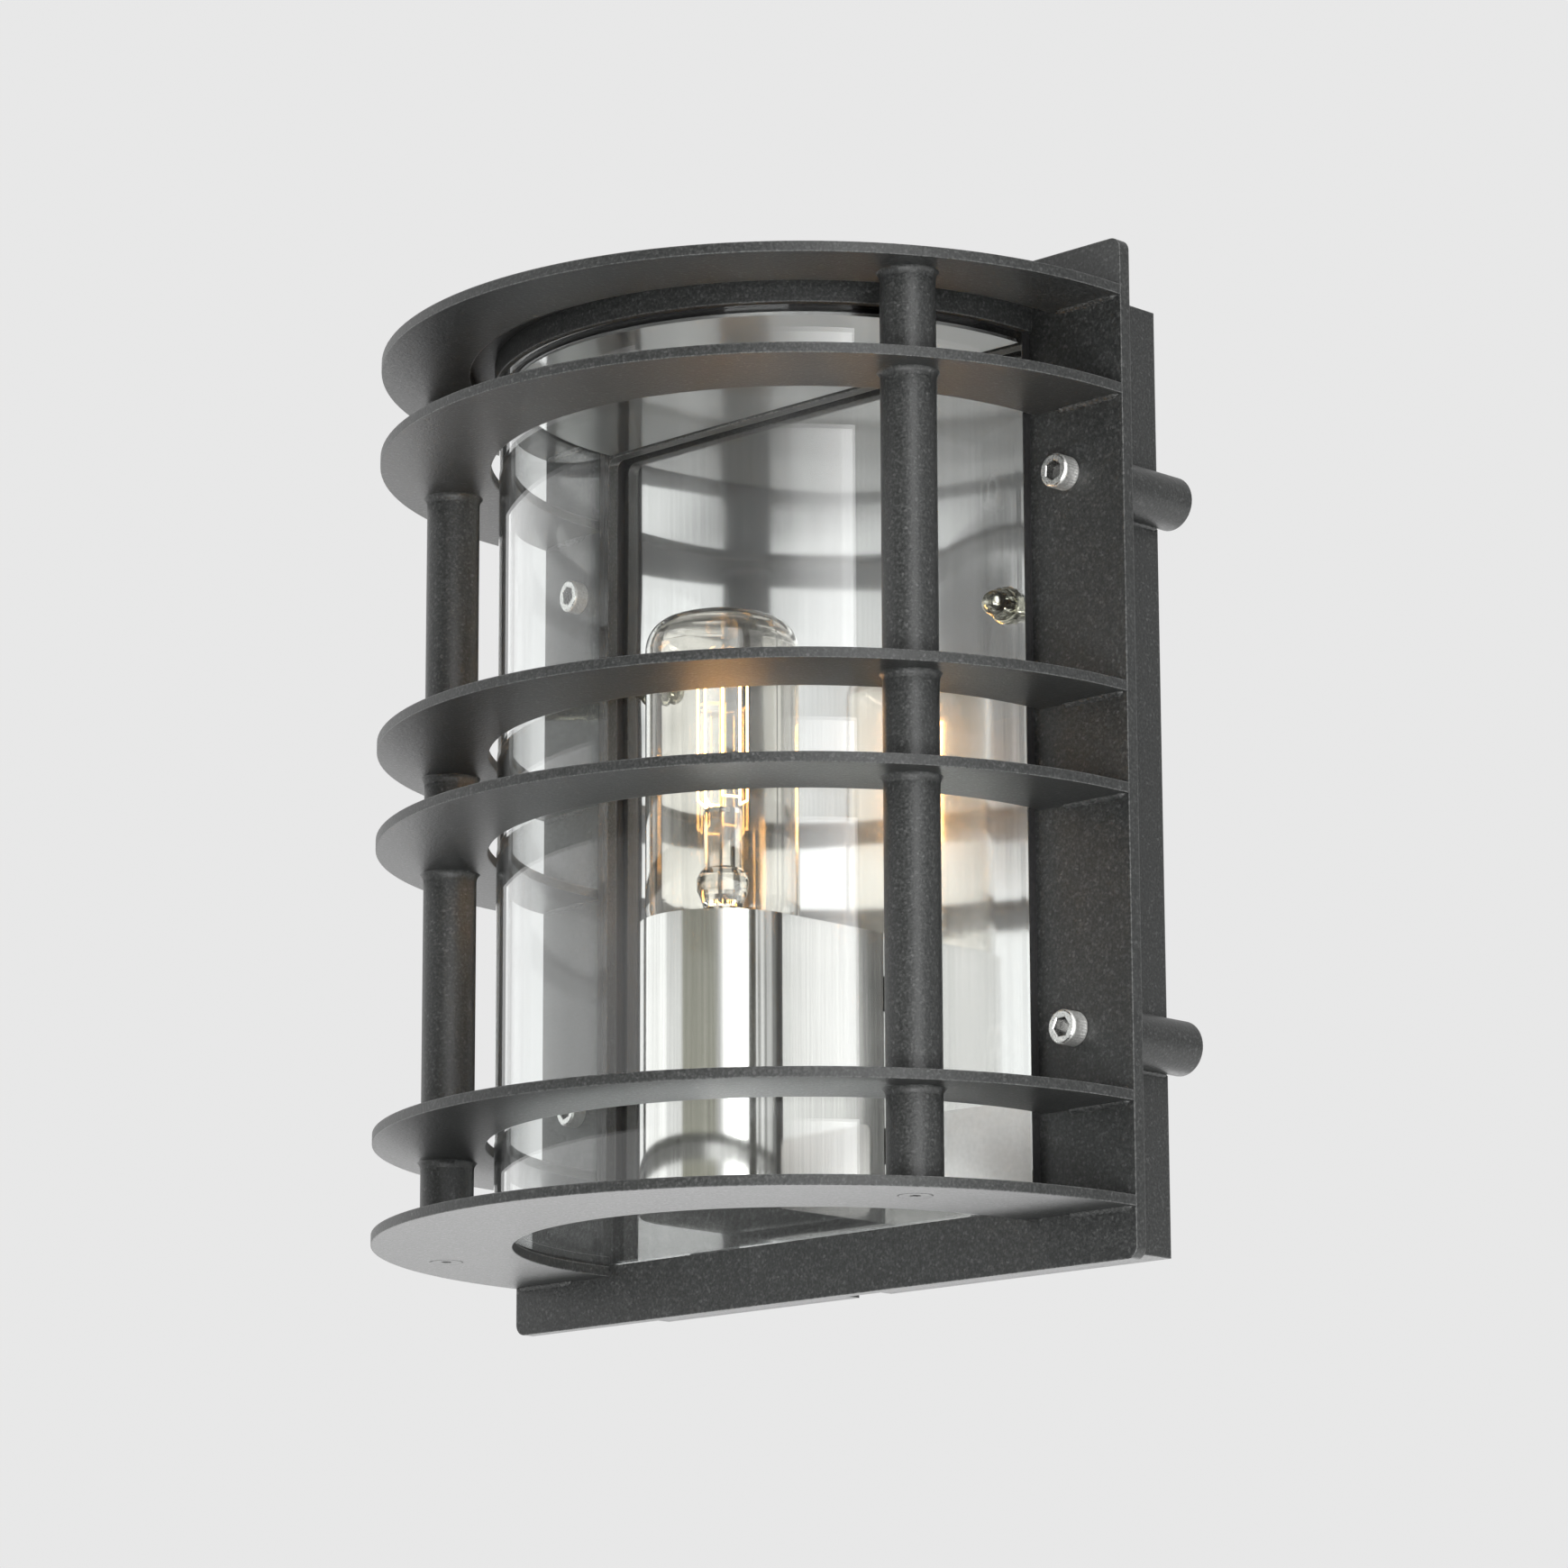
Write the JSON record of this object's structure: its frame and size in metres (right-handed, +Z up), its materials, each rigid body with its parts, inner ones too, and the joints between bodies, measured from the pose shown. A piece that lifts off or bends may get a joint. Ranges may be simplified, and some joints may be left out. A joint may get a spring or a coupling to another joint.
{
  "type": "wall light",
  "caption": "Flush wall light: welded cage of half rings on posts over a half-round clear glass, with a mirror reflector, a tubular bulb and a shallow back box on stand-off pillars.",
  "frame": {"origin": "centre of the wall-screw pattern, on the wall plane where the stand-off pillars end, at the cage plate's mid-height", "axes": "+Y into the wall, so the front faces -Y; +Z up; +X to the right for a person who faces the light"},
  "size_m": [0.25, 0.1755, 0.2956],
  "materials": {
    "powder_coat": "fine-textured satin powder coat, charcoal black",
    "clear_glass": "clear, polished edges",
    "mirror_sheet": "mirror-polished sheet, slightly wavy",
    "polished_sheet": "polished sheet",
    "bright_steel": "plain bright zinc-plated steel",
    "seal_rubber": "matte black",
    "porcelain": "unglazed white porcelain",
    "brass": "plain brass",
    "bulb_clear": "clear, thin",
    "cap_metal": "bright rolled shell",
    "black_glass": "vitreous black",
    "glow_wire": "glowing warm white",
    "support_wire": "drawn wire",
    "wire_brown": "brown insulation",
    "wire_blue": "blue insulation",
    "wire_green": "green-yellow insulation",
    "terminal_plastic": "natural white"
  },
  "bodies": {
    "base": {"pillars": "powder_coat", "back_box": "powder_coat", "cable_grommet": "seal_rubber", "reflector": "mirror_sheet", "reflector_studs": "bright_steel", "reflector_nuts": "bright_steel", "holder_cover": "polished_sheet", "holder_bracket": "bright_steel", "bracket_rivets": "bright_steel", "lampholder_body": "porcelain", "lampholder_shell": "brass", "lampholder_contact": "brass", "holder_screws": "bright_steel", "wire_bushing": "seal_rubber", "terminal_block": "terminal_plastic", "terminal_screws": "bright_steel", "wire_live": "wire_brown", "wire_neutral": "wire_blue", "earth_wire": "wire_green", "earth_stud": "bright_steel", "earth_lug": "bright_steel", "earth_nut": "bright_steel"},
    "cage": {"cage_plate": "powder_coat", "top_ring": "powder_coat", "ring_2": "powder_coat", "ring_3": "powder_coat", "ring_4": "powder_coat", "ring_5": "powder_coat", "bottom_ring": "powder_coat", "roof_lid": "powder_coat", "post_left": "powder_coat", "post_right": "powder_coat", "post_welds": "powder_coat", "post_screws": "powder_coat", "glass": "clear_glass", "floor_pane": "clear_glass", "bottom_seal": "seal_rubber", "edge_seals": "seal_rubber", "top_collar": "powder_coat", "top_reflector": "mirror_sheet", "top_spacers": "bright_steel", "plate_gasket": "seal_rubber"},
    "screws": {"cap_screws": "bright_steel"},
    "bulb": {"bulb_glass": "bulb_clear", "bulb_cap": "cap_metal", "bulb_insulator": "black_glass", "bulb_contact": "brass", "bulb_stem": "bulb_clear", "filament": "glow_wire", "filament_support": "support_wire"}
  },
  "joints": [
    {"name": "cage_off", "type": "slide", "parent": "base", "child": "cage", "axis": [0, -1, 0], "range_m": [0, 0.15]},
    {"name": "cap_screws_out", "type": "slide", "parent": "cage", "child": "screws", "axis": [0, -1, 0], "range_m": [0, 0.025]},
    {"name": "bulb_out", "type": "slide", "parent": "base", "child": "bulb", "axis": [0, 0, 1], "range_m": [0, 0.06]}
  ]
}
